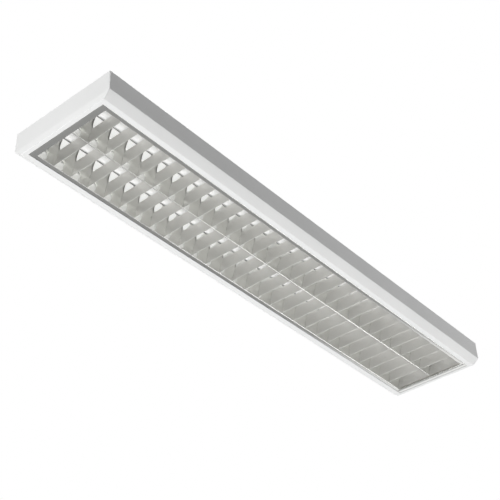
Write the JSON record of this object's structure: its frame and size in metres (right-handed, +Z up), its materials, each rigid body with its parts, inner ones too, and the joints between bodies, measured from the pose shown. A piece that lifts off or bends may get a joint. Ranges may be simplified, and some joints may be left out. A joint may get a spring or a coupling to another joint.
{
  "type": "surface-mounted linear led light",
  "caption": "Long white surface-mounted ceiling light with a swing-down parabolic aluminium louvre below tubular LED lamps.",
  "frame": {"origin": "centre of the flat back face that lies on the ceiling", "axes": "+X along the length, +Z up into the ceiling, +Y across the width towards the louvre's catches"},
  "size_m": [1.5, 0.3, 0.07],
  "materials": {
    "powder_white": "semi-gloss polyester powder coat",
    "tray_white": "white coil-coated steel",
    "zinc_steel": "zinc-plated",
    "lock_plastic": "moulded nylon",
    "holder_plastic": "moulded polycarbonate",
    "rotor_plastic": "moulded polyester",
    "opal_tube": "opal, lightly diffusing",
    "cap_aluminium": "satin",
    "pin_brass": "plated",
    "circuit_white": "white solder resist",
    "emitter_yellow": "phosphor",
    "driver_grey": "coated steel",
    "housing_plastic": "moulded polycarbonate",
    "plug_plastic": "moulded polyamide",
    "steel_pin": "turned steel",
    "screw_brass": "turned brass",
    "button_brown": "moulded",
    "button_blue": "moulded",
    "button_green": "moulded",
    "rubber_grey": "soft rubber",
    "wire_sleeve": "insulated wire",
    "satin_aluminium": "satin anodised",
    "blade_aluminium": "satin anodised",
    "spring_steel": "spring steel"
  },
  "bodies": {
    "housing": {"housing_shell": "powder_white", "end_cap_near": "powder_white", "end_cap_far": "powder_white", "gear_tray": "tray_white", "tray_bridge_near": "zinc_steel", "tray_bridge_far": "zinc_steel", "lampholder_near_left": "holder_plastic", "lampholder_near_right": "holder_plastic", "lampholder_far_left": "holder_plastic", "lampholder_far_right": "holder_plastic", "driver_case": "driver_grey", "driver_lid": "housing_plastic", "driver_plugs": "plug_plastic", "driver_screws": "steel_pin", "terminal_block": "housing_plastic", "cable_grommet": "rubber_grey", "earth_screw": "screw_brass", "mains_wires": "wire_sleeve", "lamp_wires": "wire_sleeve", "wire_clips": "housing_plastic", "hinge_bracket_near": "zinc_steel", "hinge_bracket_far": "zinc_steel", "catch_bracket_near": "zinc_steel", "catch_bracket_far": "zinc_steel", "catch_stud_near": "steel_pin", "catch_stud_far": "steel_pin"},
    "louvre": {"reflector_left": "satin_aluminium", "reflector_middle": "satin_aluminium", "reflector_right": "satin_aluminium", "blades_left": "blade_aluminium", "blades_right": "blade_aluminium", "louvre_end_near": "satin_aluminium", "louvre_end_far": "satin_aluminium", "hinge_pin_near": "steel_pin", "hinge_pin_far": "steel_pin", "catch_clip_near": "spring_steel", "catch_clip_far": "spring_steel"},
    "lamp_left": {"rotor_near_left": "rotor_plastic", "rotor_far_left": "rotor_plastic", "tube_left": "opal_tube", "tube_cap_near_left": "cap_aluminium", "tube_cap_far_left": "cap_aluminium", "tube_pins_left": "pin_brass", "led_strip_left": "circuit_white", "leds_left": "emitter_yellow"},
    "lamp_right": {"rotor_near_right": "rotor_plastic", "rotor_far_right": "rotor_plastic", "tube_right": "opal_tube", "tube_cap_near_right": "cap_aluminium", "tube_cap_far_right": "cap_aluminium", "tube_pins_right": "pin_brass", "led_strip_right": "circuit_white", "leds_right": "emitter_yellow"},
    "lock_near": {"tray_lock_near": "lock_plastic"},
    "lock_far": {"tray_lock_far": "lock_plastic"},
    "line_button": {"button_line": "button_brown"},
    "neutral_button": {"button_neutral": "button_blue"},
    "earth_button": {"button_earth": "button_green"}
  },
  "joints": [
    {"name": "louvre_swing", "type": "hinge", "parent": "housing", "child": "louvre", "pos_m": [0, -0.1118, -0.0643], "axis": [-1, 0, 0], "range_deg": [0, 90]},
    {"name": "lamp_left_turn", "type": "hinge", "parent": "housing", "child": "lamp_left", "pos_m": [0, 0.0538, -0.015], "axis": [1, 0, 0], "range_deg": [0, 90]},
    {"name": "lamp_right_turn", "type": "hinge", "parent": "housing", "child": "lamp_right", "pos_m": [0, -0.0538, -0.015], "axis": [1, 0, 0], "range_deg": [0, 90]},
    {"name": "lock_near_turn", "type": "hinge", "parent": "housing", "child": "lock_near", "pos_m": [-0.6898, 0, -0.006], "axis": [0, 0, 1], "range_deg": [0, 90]},
    {"name": "lock_far_turn", "type": "hinge", "parent": "housing", "child": "lock_far", "pos_m": [0.6898, 0, -0.006], "axis": [0, 0, 1], "range_deg": [0, 90]},
    {"name": "line_press", "type": "slide", "parent": "housing", "child": "line_button", "axis": [0, 0, 1], "range_m": [0, 0.0015], "stiffness_N_per_m": 800, "springref_m": -0.001},
    {"name": "neutral_press", "type": "slide", "parent": "housing", "child": "neutral_button", "axis": [0, 0, 1], "range_m": [0, 0.0015], "stiffness_N_per_m": 800, "springref_m": -0.001},
    {"name": "earth_press", "type": "slide", "parent": "housing", "child": "earth_button", "axis": [0, 0, 1], "range_m": [0, 0.0015], "stiffness_N_per_m": 800, "springref_m": -0.001}
  ]
}
